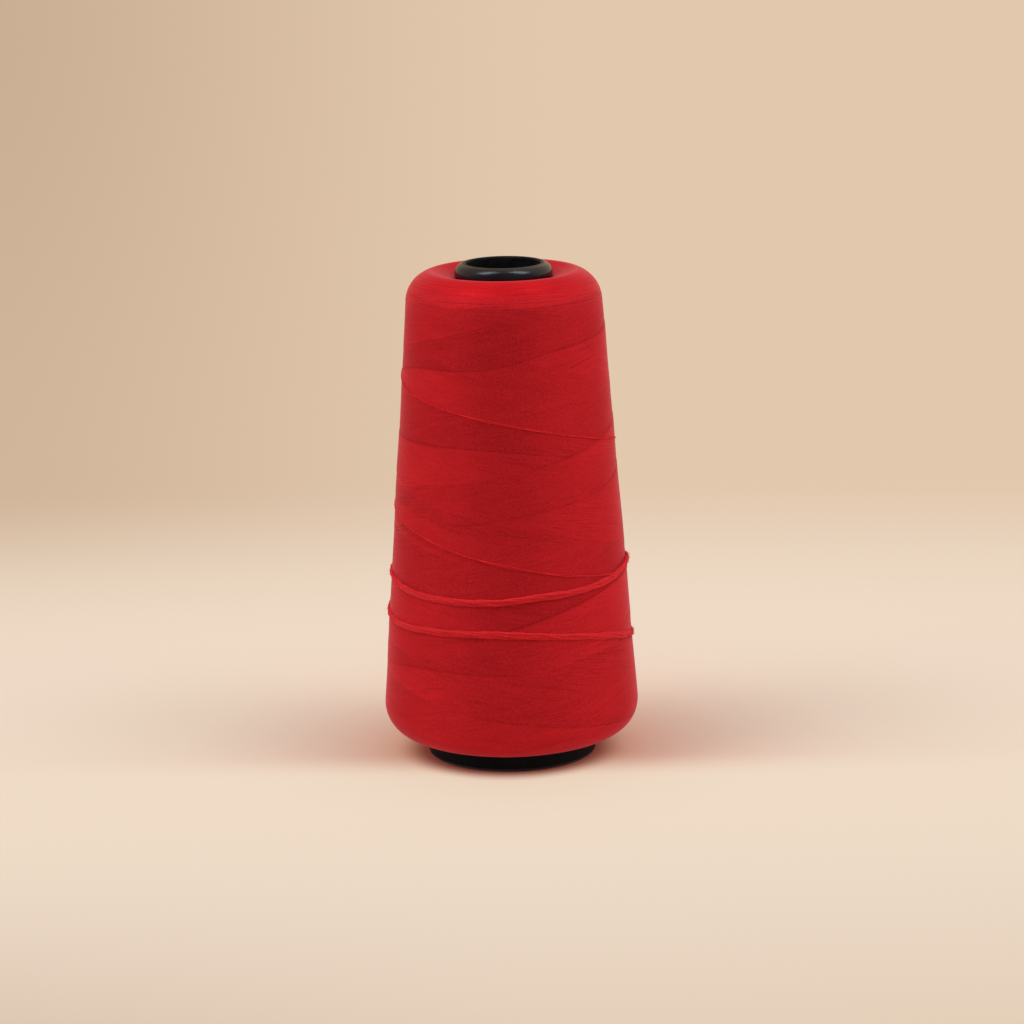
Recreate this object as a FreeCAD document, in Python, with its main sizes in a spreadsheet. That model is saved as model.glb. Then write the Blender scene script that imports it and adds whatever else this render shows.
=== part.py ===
"""A cone of sewing thread: a hollow moulded cone that carries a cross-wound package of thread.

Millimetres and degrees, +Z up. The origin is on the cone's axis, at the bottom of its foot.
The photographed side is -Y.
"""
import FreeCAD, Part
import Sketcher
import math
import os
import re

from FreeCAD import Vector

# Driving sizes

SIZES = {
    # the moulded cone's wall
    "cone_height": 170,
    "taper": 4.3333,
    "wall": 1.6,
    "wall_inset": 0.4,
    # its rounded nose, over a neck
    "nose_radius": 16.5,
    "nose_round": 3.4,
    "lip_round": 0.6,
    "bore_length": 7,
    "nose_flare": 4,
    "neck_step": 0.7,
    "neck_depth": 8,
    "neck_slope": 1,
    # the ring that it stands on, and the mouth inside
    "ring_step": 0.425,
    "ring_height": 5.5,
    "ring_edge": 0.6,
    "ring_wall": 3,
    "mouth_land": 6,
    "mouth_lead_in": 0.8,
    "mouth_slope": 1,
    # the ribs inside its wall
    "rib_count": 6,
    "rib_start": 10,
    "rib_length": 40,
    "rib_run_out": 4,
    "rib_depth": 1.5,
    "rib_width": 1,
    # the wound package under its outer layer
    "core_depth": 15.9,
    "core_below_nose": 2.8,
    "core_above_ring": 1.6,
    "core_clearance": 0.1,
    "lower_shoulder": 10.6,
    "upper_shoulder": 10.5,
    "crest_round": 3.5,
    "crest_start": 70,
    "crest_end": 108,
    "end_dip": 2.1,
    "inner_edge": 2,
    # the outer layer: one thread that runs up and down the package
    "course_diameter": 0.6,
    "course_clearance": 0.1,
    "crossing_gap": 0.45,
    "top_turn_drop": 7.3,
    "bottom_turn_rise": 7,
    "first_top_turn": 126,
    # the gathered outer end of the thread
    "tail_diameter": 2.2,
    "tail_clearance": 0.15,
    "tail_start": 90,
}

# A traverse of an odd number of quarter turns puts every crossing on a quarter turn
QUARTERS_PER_TRAVERSE = 13
TRAVERSES = 4

# Heights of the gathered end at each quarter turn of its two loops
TAIL_HEIGHTS = (64.5, 63.7, 61.0, 65.2, 58.0, 50.8, 50.2, 40.6, 37.5)

QUARTER_TURN = math.pi / 2
LEAST_SELF_GAP = 0.4
POINT_SPACING = 0.5

doc = FreeCAD.newDocument("thread_cone")
sheet = doc.addObject("Spreadsheet::Sheet", "sizes")
for row, (alias, number) in enumerate(SIZES.items(), start=1):
    sheet.set(f"A{row}", alias)
    sheet.set(f"B{row}", str(number))
    sheet.setAlias(f"B{row}", alias)
doc.recompute()


def bound(formula):
    """The formula with each size in it named as a cell of the sheet."""
    return re.sub(r"[a-z_]+", lambda word: "sizes." + word[0] if word[0] in SIZES else word[0], formula)


def worth(formula):
    """The number that a formula on the sizes gives."""
    return float(sheet.evalExpression(bound(formula)))


# Formulas that several pieces share

WALL_TOP = "(cone_height - neck_depth)"


def wall_outside(height):
    return f"(nose_radius - wall_inset + ({WALL_TOP} - {height}) * tan(taper))"


def wall_inside(height):
    return f"({wall_outside(height)} - wall / cos(taper))"


def core_side(height):
    return f"({wall_outside(height)} + core_depth)"


CORE_BOTTOM = "(ring_height + core_above_ring)"
# The upper shoulder's arc would reach this height, but bends over into the dip before it does
CORE_TOP = "(cone_height - core_below_nose)"
LOWER_CENTRE_UP = f"({CORE_BOTTOM} + lower_shoulder)"
UPPER_CENTRE_UP = f"({CORE_TOP} - upper_shoulder)"
LOWER_CENTRE_ACROSS = f"({core_side(LOWER_CENTRE_UP)} - lower_shoulder / cos(taper))"
UPPER_CENTRE_ACROSS = f"({core_side(UPPER_CENTRE_UP)} - upper_shoulder / cos(taper))"


# Sketches and solids of revolution

def upright_sketch(body, name, stretches):
    """Draws a closed outline in the upright plane through the axis.

    Each stretch says how it runs ("line", or "left" for an arc that bends to the left), the place
    across and up where it ends, and an arc's radius, all as formulas on the sizes. The first one
    starts where the last one ends.
    """
    sketch = body.newObject("Sketcher::SketchObject", name)
    plane = next(part for part in body.Origin.OriginFeatures if part.Role == "XZ_Plane")
    sketch.AttachmentSupport = [(plane, "")]
    sketch.MapMode = "FlatFace"
    ends = [Vector(worth(stretch[1]), worth(stretch[2]), 0) for stretch in stretches]
    for index, stretch in enumerate(stretches):
        start, end = ends[index - 1], ends[index]
        if stretch[0] == "line":
            sketch.addGeometry(Part.LineSegment(start, end), False)
            continue
        radius = worth(stretch[3])
        chord = end - start
        rise = math.sqrt(max(radius ** 2 - chord.Length ** 2 / 4, 0))
        centre = (start + end) / 2 + Vector(-chord.y, chord.x, 0).normalize() * rise
        circle = Part.Circle(centre, Vector(0, 0, 1), radius)
        sketch.addGeometry(Part.ArcOfCircle(circle, circle.parameter(start), circle.parameter(end)), False)
    for index, stretch in enumerate(stretches):
        following = (index + 1) % len(stretches)
        sketch.addConstraint(Sketcher.Constraint("Coincident", index, 2, following, 1))
        for kind, formula, length in (("DistanceX", stretch[1], ends[index].x),
                                      ("DistanceY", stretch[2], ends[index].y)):
            place = sketch.addConstraint(Sketcher.Constraint(kind, -1, 1, index, 2, length))
            sketch.setExpression(f"Constraints[{place}]", bound(formula))
        if stretch[0] == "left":
            size = sketch.addConstraint(Sketcher.Constraint("Radius", index, worth(stretch[3])))
            sketch.setExpression(f"Constraints[{size}]", bound(stretch[3]))
    return sketch


def revolved(body, name, stretches):
    """Turns an outline once round the axis, as the body's newest feature."""
    sketch = upright_sketch(body, name + "_outline", stretches)
    turned = body.newObject("PartDesign::Revolution", name)
    turned.Profile = sketch
    turned.ReferenceAxis = (sketch, ["V_Axis"])
    turned.Angle = 360
    body.Tip = turned
    return turned


# The moulded cone

def make_plastic_cone():
    """One moulding: a tapered wall with a ring at its base, a rounded nose and ribs inside."""
    body = doc.addObject("PartDesign::Body", "plastic_cone")
    ring_radius = f"({wall_outside('0')} + ring_step)"
    mouth_radius = f"({ring_radius} - ring_wall)"
    slope_top = "(mouth_land + mouth_slope)"
    neck_radius = "(nose_radius - neck_step)"
    nose_across = "(nose_radius - nose_round)"
    round_inset = "(nose_round - neck_step)"
    round_drop = f"sqrt(nose_round * nose_round - {round_inset} * {round_inset})"
    bore_radius = f"({nose_across} - lip_round)"
    bore_top = "(cone_height - lip_round)"
    bore_bottom = f"({bore_top} - bore_length)"
    flare_bottom = f"({bore_bottom} - nose_flare)"
    revolved(body, "wall_and_nose", [
        ("line", f"{ring_radius} - ring_edge", "0"),
        ("left", ring_radius, "ring_edge", "ring_edge"),
        ("line", ring_radius, "ring_height - ring_edge"),
        ("left", f"{ring_radius} - ring_edge", "ring_height", "ring_edge"),
        ("line", wall_outside("ring_height"), "ring_height"),
        ("line", wall_outside(WALL_TOP), WALL_TOP),
        ("line", neck_radius, f"{WALL_TOP} + neck_slope"),
        ("line", neck_radius, f"cone_height - nose_round - {round_drop}"),
        ("left", nose_across, "cone_height", "nose_round"),
        ("left", bore_radius, bore_top, "lip_round"),
        ("line", bore_radius, bore_bottom),
        ("line", wall_inside(flare_bottom), flare_bottom),
        ("line", wall_inside(slope_top), slope_top),
        ("line", mouth_radius, "mouth_land"),
        ("line", mouth_radius, "mouth_lead_in"),
        ("line", f"{mouth_radius} + mouth_lead_in", "0"),
    ])
    rib_top = "(rib_start + rib_length)"
    run_out = f"({rib_top} - rib_run_out)"
    rib_sketch = upright_sketch(body, "rib_outline", [
        ("line", f"{wall_inside('rib_start')} + wall / 2", "rib_start"),
        ("line", f"{wall_inside(rib_top)} + wall / 2", rib_top),
        ("line", f"{wall_inside(run_out)} - rib_depth", run_out),
        ("line", f"{wall_inside('rib_start')} - rib_depth", "rib_start"),
    ])
    rib = body.newObject("PartDesign::Pad", "rib")
    rib.Profile = rib_sketch
    rib.setExpression("Length", bound("rib_width"))
    rib.Midplane = True
    body.Tip = rib
    doc.recompute()
    ribs = body.newObject("PartDesign::PolarPattern", "ribs")
    ribs.Originals = [rib]
    ribs.Axis = (rib_sketch, ["V_Axis"])
    ribs.Angle = 360
    ribs.setExpression("Occurrences", bound("rib_count"))
    body.Tip = ribs
    return body


# The wound package

def make_thread_package():
    """The package under its outer layer: straight sides, round shoulders, a dip round the nose."""
    body = doc.addObject("PartDesign::Body", "thread_package")
    crest_across = f"({UPPER_CENTRE_ACROSS} + (upper_shoulder - crest_round) * cos(crest_start))"
    crest_up = f"({UPPER_CENTRE_UP} + (upper_shoulder - crest_round) * sin(crest_start))"
    edge_up = f"({CORE_TOP} - end_dip - inner_edge)"
    bore_at_edge = f"({wall_outside(edge_up)} + core_clearance)"
    revolved(body, "core", [
        ("line", LOWER_CENTRE_ACROSS, CORE_BOTTOM),
        ("left", f"{LOWER_CENTRE_ACROSS} + lower_shoulder * cos(taper)",
         f"{LOWER_CENTRE_UP} + lower_shoulder * sin(taper)", "lower_shoulder"),
        ("line", f"{UPPER_CENTRE_ACROSS} + upper_shoulder * cos(taper)",
         f"{UPPER_CENTRE_UP} + upper_shoulder * sin(taper)"),
        ("left", f"{crest_across} + crest_round * cos(crest_start)",
         f"{crest_up} + crest_round * sin(crest_start)", "upper_shoulder"),
        ("left", f"{crest_across} + crest_round * cos(crest_end)",
         f"{crest_up} + crest_round * sin(crest_end)", "crest_round"),
        ("line", f"{bore_at_edge} + inner_edge", f"{edge_up} + inner_edge"),
        ("left", bore_at_edge, edge_up, "inner_edge"),
        ("line", f"{wall_outside(CORE_BOTTOM)} + core_clearance", CORE_BOTTOM),
    ])
    return body


def core_surface(height):
    """The radius of the package's core at a height, and the slope of its surface's normal."""
    taper = math.radians(worth("taper"))
    for radius, across, up, side in (
            (worth("lower_shoulder"), worth(LOWER_CENTRE_ACROSS), worth(LOWER_CENTRE_UP), -1),
            (worth("upper_shoulder"), worth(UPPER_CENTRE_ACROSS), worth(UPPER_CENTRE_UP), 1)):
        if side * (height - up - radius * math.sin(taper)) > 0:
            slope = math.asin((height - up) / radius)
            return across + radius * math.cos(slope), slope
    return worth(core_side("0")) - height * math.tan(taper), taper


def on_package(angle, height, lift):
    """A point that stands off the core's surface by `lift`."""
    radius, slope = core_surface(height)
    reach = radius + lift * math.cos(slope)
    return Vector(reach * math.cos(angle), reach * math.sin(angle), height + lift * math.sin(slope))


# Wound thread: stations a quarter turn apart, joined by pairs of arcs

def arc(start, corner, end):
    """The arc that leaves `start` towards `corner` and reaches `end` from it."""
    middle = (start + end) / 2
    half_chord = (end - start).Length / 2
    side = (corner - start).Length
    crest = middle + (corner - middle) * (half_chord / (side + half_chord))
    return Part.Arc(start, crest, end).toShape()


def biarc(start, start_way, end, end_way):
    """Two arcs that leave `start` and reach `end` along the given ways, and meet smoothly."""
    across = end - start
    along = across.dot(start_way + end_way)
    turn = 2 * (1 - start_way.dot(end_way))
    reach = (math.sqrt(along ** 2 + turn * across.dot(across)) - along) / turn
    first_corner = start + start_way * reach
    last_corner = end - end_way * reach
    joint = (first_corner + last_corner) / 2
    return [arc(start, first_corner, joint), arc(joint, last_corner, end)]


def wound_path(stations, diameter):
    """One smooth wire through stations of (angle, height, lift), with a short straight run at each end."""
    places = []
    ways = []
    step = 0.001
    for index, (angle, height, lift) in enumerate(stations):
        before = stations[max(index - 1, 0)]
        after = stations[min(index + 1, len(stations) - 1)]
        climb = (after[1] - before[1]) / (after[0] - before[0])
        places.append(on_package(angle, height, lift))
        ahead = on_package(angle + step, height + climb * step, lift)
        behind = on_package(angle - step, height - climb * step, lift)
        ways.append((ahead - behind).normalize())
    edges = [Part.LineSegment(places[0] - ways[0] * diameter, places[0]).toShape()]
    for index in range(len(places) - 1):
        edges += biarc(places[index], ways[index], places[index + 1], ways[index + 1])
    edges.append(Part.LineSegment(places[-1], places[-1] + ways[-1] * diameter).toShape())
    return Part.Wire(edges)


def tube(path, diameter):
    """A round tube along a wire, closed at both ends."""
    first = path.Edges[0]
    start = first.valueAt(first.FirstParameter)
    section = Part.Wire(Part.Circle(start, first.tangentAt(first.FirstParameter), diameter / 2).toShape())
    return path.makePipeShell([section], True, False)


def add_thread(name, path, diameter):
    """Adds a tube of thread to the document and prints its bends and its least gap to itself."""
    feature = doc.addObject("Part::Feature", name)
    feature.Shape = tube(path, diameter)
    radii = [edge.Curve.Radius for edge in path.Edges[1:-1]]
    share = feature.Shape.Volume / (path.Length * math.pi * diameter ** 2 / 4)
    gap = least_gap(path_points(path), 4 * diameter) - diameter
    print(f"{name}: {path.Length:.0f} mm long, bend radii {min(radii):.1f} to {max(radii):.1f} mm, "
          f"volume {share:.4f} of its section times its length, least gap to itself {gap:.2f} mm")
    if gap < LEAST_SELF_GAP:
        raise ValueError(f"{name} comes within {gap:.2f} mm of itself")
    return feature


def path_points(path):
    """Points along a wire, each with how far along it lies."""
    points = []
    travelled = 0
    for edge in path.OrderedEdges:
        count = max(int(edge.Length / POINT_SPACING), 2)
        for share, point in enumerate(edge.discretize(Number=count)):
            points.append((travelled + edge.Length * share / (count - 1), point))
        travelled += edge.Length
    return points


def least_gap(points, near, others=None):
    """The least distance between points of a wire that lie more than `near` apart along it.

    With `others`, the least distance from the points to those of another wire.
    """
    cell = 12
    grid = {}
    for along, point in points:
        key = (int(point.x // cell), int(point.y // cell), int(point.z // cell))
        grid.setdefault(key, []).append((along, point))
    least = cell
    for along, point in others or points:
        column, row, level = int(point.x // cell), int(point.y // cell), int(point.z // cell)
        for key in ((column + i, row + j, level + k)
                    for i in (-1, 0, 1) for j in (-1, 0, 1) for k in (-1, 0, 1)):
            for other_along, other in grid.get(key, ()):
                if others or abs(along - other_along) > near:
                    least = min(least, point.distanceToPoint(other))
    return least


def course_lift(level):
    """How far a course's centre stands off the core, on it or over a crossing."""
    diameter = worth("course_diameter")
    return worth("course_clearance") + diameter / 2 + level * (diameter + worth("crossing_gap"))


def outer_winding_stations():
    """The outer layer's stations, from its first climb to the end of its last descent.

    Courses that climb and courses that fall cross at each second quarter turn. The first climb lies
    on the core all the way and the last descent over everything, and the two between them rise
    only where they cross a thread that was laid before them.
    """
    top = worth(f"{CORE_TOP} - top_turn_drop")
    bottom = worth(f"{CORE_BOTTOM} + bottom_turn_rise")
    rise = (top - bottom) / QUARTERS_PER_TRAVERSE
    start = math.radians(worth("first_top_turn")) - QUARTERS_PER_TRAVERSE * QUARTER_TURN
    last = TRAVERSES * QUARTERS_PER_TRAVERSE
    stations = []
    for index in range(last + 1):
        traverse, quarter = divmod(index, QUARTERS_PER_TRAVERSE)
        climbing = traverse % 2 == 0
        below_top = QUARTERS_PER_TRAVERSE - quarter if climbing else quarter
        if index == last:
            below_top, traverse = QUARTERS_PER_TRAVERSE, TRAVERSES - 1
        over_others = {0: False, 1: below_top % 2 == 0, 2: below_top % 2 == 1, 3: True}[traverse]
        at_turn = quarter == 0 and traverse > 0
        level = 1 if over_others or at_turn else 0
        stations.append((start + index * QUARTER_TURN, top - below_top * rise, course_lift(level)))
    return stations


def tail_stations():
    """The gathered end's stations, clear of the highest courses of the outer layer."""
    diameter = worth("tail_diameter")
    lift = course_lift(1) + worth("course_diameter") / 2 + worth("tail_clearance") + diameter / 2
    start = math.radians(worth("tail_start"))
    return [(start + index * QUARTER_TURN, height, lift) for index, height in enumerate(TAIL_HEIGHTS)]


plastic_cone = make_plastic_cone()
thread_package = make_thread_package()
doc.recompute()

winding_path = wound_path(outer_winding_stations(), worth("course_diameter"))
outer_winding = add_thread("outer_winding", winding_path, worth("course_diameter"))
tail_path = wound_path(tail_stations(), worth("tail_diameter"))
thread_tail = add_thread("thread_tail", tail_path, worth("tail_diameter"))
apart = least_gap(path_points(winding_path), 0, path_points(tail_path))
print(f"outer_winding to thread_tail: {apart - worth('course_diameter + tail_diameter') / 2:.2f} mm")
doc.recompute()

# Checks and files

pieces = [plastic_cone, thread_package, outer_winding, thread_tail]
for thing in doc.Objects:
    if "Invalid" in thing.State or "Error" in thing.State:
        raise ValueError(f"{thing.Label} failed: {thing.State}")
os.makedirs("parts", exist_ok=True)
for piece in pieces:
    if piece.Shape.isNull() or not piece.Shape.isValid():
        raise ValueError(f"{piece.Label} is not a valid solid")
    piece.Shape.exportStep(f"parts/{piece.Label}.step")
    print(f"{piece.Label}: {len(piece.Shape.Solids)} solid, {piece.Shape.Volume / 1000:.1f} cm3")
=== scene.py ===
import math

import bpy
import numpy as np
from mathutils import Matrix, Vector


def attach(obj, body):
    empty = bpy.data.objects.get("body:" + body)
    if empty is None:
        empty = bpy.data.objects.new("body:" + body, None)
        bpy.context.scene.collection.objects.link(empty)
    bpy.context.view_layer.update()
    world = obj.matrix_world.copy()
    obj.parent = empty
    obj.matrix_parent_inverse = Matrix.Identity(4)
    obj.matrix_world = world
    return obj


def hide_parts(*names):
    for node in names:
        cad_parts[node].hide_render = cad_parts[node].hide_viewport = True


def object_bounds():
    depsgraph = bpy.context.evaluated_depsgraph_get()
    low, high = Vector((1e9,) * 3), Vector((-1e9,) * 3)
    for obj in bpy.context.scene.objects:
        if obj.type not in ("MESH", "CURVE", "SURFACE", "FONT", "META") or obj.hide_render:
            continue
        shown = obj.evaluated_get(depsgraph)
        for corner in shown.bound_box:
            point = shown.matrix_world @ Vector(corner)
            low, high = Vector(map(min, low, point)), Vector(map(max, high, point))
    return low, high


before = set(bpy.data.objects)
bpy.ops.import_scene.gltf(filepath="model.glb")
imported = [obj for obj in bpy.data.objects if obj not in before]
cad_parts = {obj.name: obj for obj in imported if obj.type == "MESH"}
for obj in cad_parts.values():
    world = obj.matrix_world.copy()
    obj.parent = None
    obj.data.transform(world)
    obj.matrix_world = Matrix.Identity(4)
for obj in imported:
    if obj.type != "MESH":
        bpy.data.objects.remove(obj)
CAD_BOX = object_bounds()

bl_info = {
    "name": "Thread cone",
    "version": (1, 0, 0),
    "blender": (4, 5, 0),
    "location": "3D View > Sidebar > Thread",
    "description": "Builds a cone of cross-wound sewing thread on its plastic cone",
    "category": "Object",
}

MM = 0.001
NOSE_TOP = CAD_BOX[1][2]
# The cone's side leans in by 4 degrees 20 minutes.
LEAN = math.radians(4.3333)
TAPER = math.tan(LEAN)

# The outer thread, station by station: turn angle in degrees, counted from +X and on from turn to
# turn, height in mm, and how strongly the edge of its band shows, from -1 where the band is brighter
# below it to 1 where it is brighter above.
CLIMB_1 = [
    (-330, 13.6, 0), (-290, 17.5, 0.1), (-220, 27, 0.3), (-164.3, 34.8, -0.2), (-144.9, 36.9, -0.35),
    (-94.8, 37.8, -0.35), (-76.7, 38.2, 0.2), (-56.5, 40.8, 0.5), (-29.2, 43.4, 0.5), (40, 53.5, 0.5),
    (140, 71.5, 0.5), (205.2, 83.6, 0.3), (258.2, 88.9, -0.2), (285.3, 91.8, -0.25), (345.3, 98.8, -0.3),
    (420, 111.5, -0.5), (510, 128.5, -0.6), (569.1, 137.8, -0.85), (618.1, 139.6, -0.5),
    (656.4, 144.7, -0.45), (705.3, 148.4, -0.6), (760, 154.2, -0.3), (800, 158.6, 0), (834, 160.3, 0),
]
DROP_1 = [
    (834, 160.3, 0), (868, 158.9, 0), (930, 151.5, 0.1), (990.2, 143.2, 0.1), (1080, 127.5, 0.3),
    (1170, 113.5, 0.5), (1260, 99.5, 0.5), (1350.2, 87.4, 0.2), (1440, 72.5, 0.3), (1530, 59, 0.5),
    (1620, 45, 0.4), (1710.3, 32.4, 0.1), (1792.5, 17.9, 0), (1830, 13.8, 0),
]
CLIMB_2 = [
    (1830, 13.8, 0), (1868, 18.2, 0.1), (1950, 31.5, 0.3), (2015.1, 43.6, 0.2), (2065.2, 52, -0.4),
    (2094.4, 57.7, -0.9), (2118.7, 62, -1), (2153, 65.6, -0.8), (2240, 75.5, -0.5), (2330, 89.7, 0.2),
    (2380, 99.2, 0.6), (2409.1, 101.9, 0.5), (2426.2, 104.2, 0.25), (2452.4, 107.6, -0.2),
    (2479.6, 111.5, -0.6), (2504.2, 115.5, -0.6), (2590, 126.5, -0.4), (2680, 138.6, 0.2), (2736, 147, 0.6),
    (2765, 151.5, 0.5), (2793.2, 156, 0.12), (2837, 160.4, 0), (2870, 160.8, 0),
]
DROP_2_PROUD = [
    (2870, 160.8, 0), (2908, 158.6, 0), (2970, 149.5, 0.1), (3020, 140.1, 0.2), (3075.4, 130.2, 0.5),
    (3097, 128, 0.7), (3112, 126.1, 0.7), (3125.1, 124.5, 0.6), (3136.1, 123.1, 0.5), (3147.2, 121.7, 0.4),
    (3157.3, 120.3, 0.25), (3168.3, 118.8, 0.15), (3179.4, 117.1, 0.1), (3192.6, 115.2, 0),
    (3206.7, 113.3, 0), (3224.2, 111.1, 0.1), (3280, 104.5, 0.4), (3360, 95, 0.4), (3427, 87, 0.6),
    (3442.3, 85.2, 0.7), (3452.1, 83.7, 0.7), (3461.1, 82.2, 0.7), (3474.1, 80, 0.6), (3486.1, 77.9, 0.5),
    (3496.1, 76.4, 0.5), (3506.2, 74.8, 0.5), (3515.3, 73.4, 0.4), (3525.3, 71.8, 0.3), (3535.4, 70.3, 0.3),
    (3546.5, 68.9, 0.2), (3559.7, 67.5, 0.1), (3572.9, 66.3, 0), (3592.1, 64.9, 0), (3612, 64.7, 0),
]
DROP_2_LOW = [
    (3568.8, 66.5, 0), (3640, 56.5, 0.1), (3720, 43.5, 0.3), (3794.8, 31.8, 0.6), (3824.1, 27.5, 0.5),
    (3850, 23.9, -0.1), (3862, 22.4, -0.3), (3891.4, 19.1, -0.4), (3930.5, 15.5, -0.4), (3966, 13.9, 0),
]
# Edges of bands that carry no course of their own, in the same terms. The last two level ones run
# under the gathered end.
DROP_EDGES = [
    [(-190, 84.3, 0), (-169, 82.4, 0.3), (-153.8, 80.3, 0.45), (-134.9, 77.5, 0.4), (-108.9, 74.2, 0.1),
     (-89.8, 71.8, 0)],
    [(20, 134, 0), (50, 129, 0.5), (110, 119.5, 0.5), (170, 110.5, 0)],
    [(30, 86, 0), (60, 81, -0.5), (120, 71.5, -0.5), (165, 64.5, 0)],
]
LEVEL_EDGES = [
    [(-200, 113.3, 0), (-176, 113.2, -0.45), (-147.9, 113.1, -0.6), (-93.8, 112.8, -0.5),
     (-65.6, 110.4, -0.2), (-44.4, 108.1, 0)],
    [(-190, 158.8, 0.15), (-149.2, 159, 0.3), (-68.5, 159.6, 0.35), (-15, 160.9, 0.3), (60, 159.2, 0.15),
     (170, 158.5, 0.15)],
    [(-59.6, 126.9, 0), (-39.3, 126.2, 0.15), (40, 124.6, 0.3), (90, 124, 0.3), (120, 123.8, 0)],
    [(60, 49, 0), (90, 48.6, -0.4), (150, 48, -0.4), (185, 47.6, 0)],
    [(-172, 63.3, 0), (-156.7, 63.1, -0.35), (-145.9, 62.4, -0.55), (-124.9, 61.9, -0.45), (-103.8, 62, -0.1),
     (-94.8, 62.3, 0)],
    [(-178, 49.8, 0), (-162.5, 50, 0.35), (-144.9, 50.1, 0.6), (-118.9, 51.1, 0.5), (-94.8, 51.4, 0.15),
     (-75.7, 50.4, 0)],
]
# The gathered end: turn angle and height of its middle line and, where it is raised as it crosses
# itself, a third value, which raises it fully at -0.5.
GATHERED = [
    (88, 66.2), (110, 64.9), (140, 64.1), (165, 64.1), (185, 64.2), (203.3, 63.1), (214.1, 62.4),
    (222.1, 62.1), (235.1, 61.9), (246.1, 61.8), (256.2, 62.0), (265.2, 62.3), (275.3, 62.9), (284.3, 63.5),
    (294.4, 63.7), (306.5, 64.1), (319.7, 64.8), (331.8, 65.6, -0.1), (342, 66.8, -0.3),
    (352, 67.6, -0.45), (364, 67.0, -0.4), (385, 64.8), (420, 60.4), (460, 55.9), (500, 52.3),
    (541, 50.8), (557.5, 50.0), (575.1, 50.1), (589.1, 50.7), (601.1, 51.1), (611.1, 51.3),
    (625.2, 51.4), (634.3, 51.0), (644.3, 50.4), (664.5, 48.6), (683.7, 46.2), (719, 41.0),
    (750, 38.6), (775, 37.6), (796, 37.2),
]
# Places where the courses lie a little apart: angle, height, reach in degrees and mm, and amount,
# more than 0 where the climbing courses lie on top there and less where the dropping ones do.
OPEN_PLACES = [
    (-40, 141.5, 17, 4.5, 1.0), (-152, 86.5, 17, 7.0, 0.9), (-38, 39.5, 17, 3.0, -0.8),
    (-45, 47.0, 18, 3.0, 0.9), (-72, 11.5, 34, 2.4, 0.9), (-117, 108.5, 9, 2.2, -0.9),
    (-158, 96.5, 18, 2.5, 0.6), (-4, 100.0, 20, 5.0, -0.5), (-60, 86.0, 24, 4.0, -0.6),
    (60, 140.0, 22, 5.0, 0.8), (118, 58.0, 20, 6.0, -0.8), (95, 96.0, 26, 5.0, 0.6),
    (160, 30.0, 26, 5.0, 0.7), (40, 24.0, 26, 4.0, -0.6), (-110, 28.0, 22, 3.0, -0.45),
    (140, 128.0, 18, 4.0, -0.6), (-62, 33.0, 16, 2.5, -0.7), (-120, 62.0, 14, 3.0, 0.5),
    (-64, 56.0, 14, 2.0, 0.7), (-130, 30.0, 12, 3.0, 0.5),
]
# Lowest and highest place of a course, in mm.
COURSE_HEIGHTS = (12.2, 161.6)
# Turn in degrees over which a course's end dips into the winding.
TUCK_TURN = 4
# Layers on the package's mesh that say how far its faces are from the edges of the bands.
EDGE_LAYERS = ("climb_edge", "drop_edge", "level_edge")
# Distance in mm that stands for no edge at all.
NO_EDGE = 999.0


def low_circle(sizes):
    """Middle radius, middle height and radius of the lower shoulder's arc, in mm."""
    return sizes.low_shoulder_middle / MM, sizes.low_shoulder_height / MM, sizes.low_shoulder / MM


def top_circle(sizes):
    """The same of the upper shoulder's arc, which touches the side."""
    middle, height = sizes.top_shoulder_middle / MM, sizes.top_shoulder_height / MM
    reach = (sizes.foot_radius / MM) * math.cos(LEAN) - middle * math.cos(LEAN) - height * math.sin(LEAN)
    return middle, height, reach


def package_radius(z, sizes):
    """Outer radius of the package at some heights, in mm, shoulders included."""
    low_r, low_z, low = low_circle(sizes)
    top_r, top_z, top = top_circle(sizes)
    side = sizes.foot_radius / MM - z * TAPER
    under = low_r + np.sqrt(np.maximum(low**2 - (z - low_z) ** 2, 0))
    over = top_r + np.sqrt(np.maximum(top**2 - (z - top_z) ** 2, 0))
    side = np.where(z < low_z + low * math.sin(LEAN), under, side)
    return np.where(z > top_z + top * math.sin(LEAN), over, side)


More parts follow.
